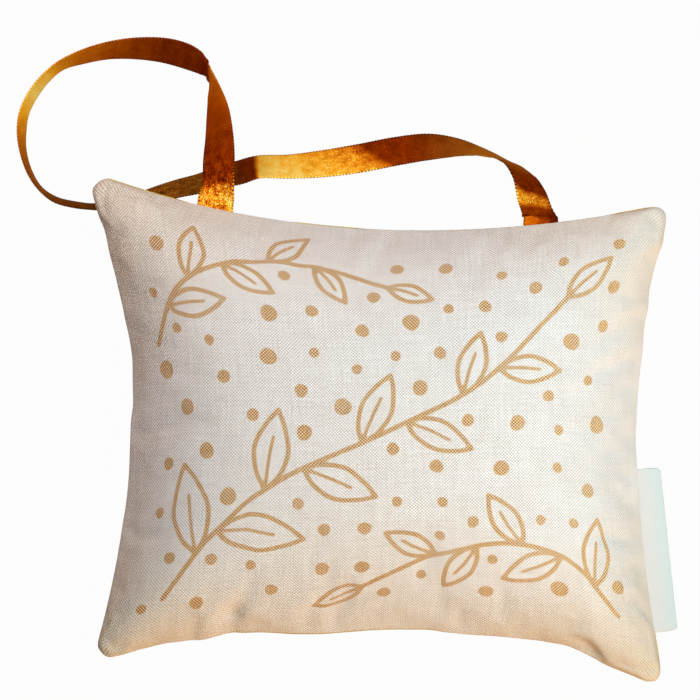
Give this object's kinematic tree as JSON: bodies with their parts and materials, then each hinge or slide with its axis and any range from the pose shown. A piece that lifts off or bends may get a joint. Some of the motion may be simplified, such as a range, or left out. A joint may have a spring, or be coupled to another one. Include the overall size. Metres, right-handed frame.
{
  "type": "hanging sachet",
  "caption": "Plump rectangular cotton sachet with a stuffed filling, a ribbon loop sewn into its top seam and a small folded cloth label in its side seam.",
  "frame": {"origin": "middle of the flat on the back that the sachet rests on", "axes": "+X along the pillow's length towards the side label, +Y towards the ribbon's seam, +Z out of the printed front"},
  "size_m": [0.172, 0.168, 0.0434],
  "materials": {
    "front_cotton": "matte",
    "back_cotton": "matte",
    "label_cotton": "matte",
    "satin_ribbon": "satin",
    "dried_lavender": "matte",
    "sewing_thread": "matte"
  },
  "bodies": {
    "sachet": {"front_panel": "front_cotton", "back_panel": "back_cotton", "lavender_filling": "dried_lavender", "needle_thread": "sewing_thread", "bobbin_thread": "sewing_thread", "closing_thread": "sewing_thread", "ribbon_end_left": "satin_ribbon", "ribbon_end_right": "satin_ribbon", "label_sewn_edge": "label_cotton"},
    "ribbon_loop": {"hanging_ribbon": "satin_ribbon"},
    "label": {"side_label": "label_cotton"}
  },
  "joints": [
    {"name": "ribbon_swing", "type": "hinge", "parent": "sachet", "child": "ribbon_loop", "pos_m": [-0.00036, 0.05721, 0.0195], "axis": [0.9989, -0.0472, 0], "range_deg": [0, 90]},
    {"name": "label_fold", "type": "hinge", "parent": "sachet", "child": "label", "pos_m": [0.06983, -0.0311, 0.0195], "axis": [0.1048, -0.9945, 0], "range_deg": [-90, 90], "stiffness_Nm_per_rad": 0.000064}
  ]
}
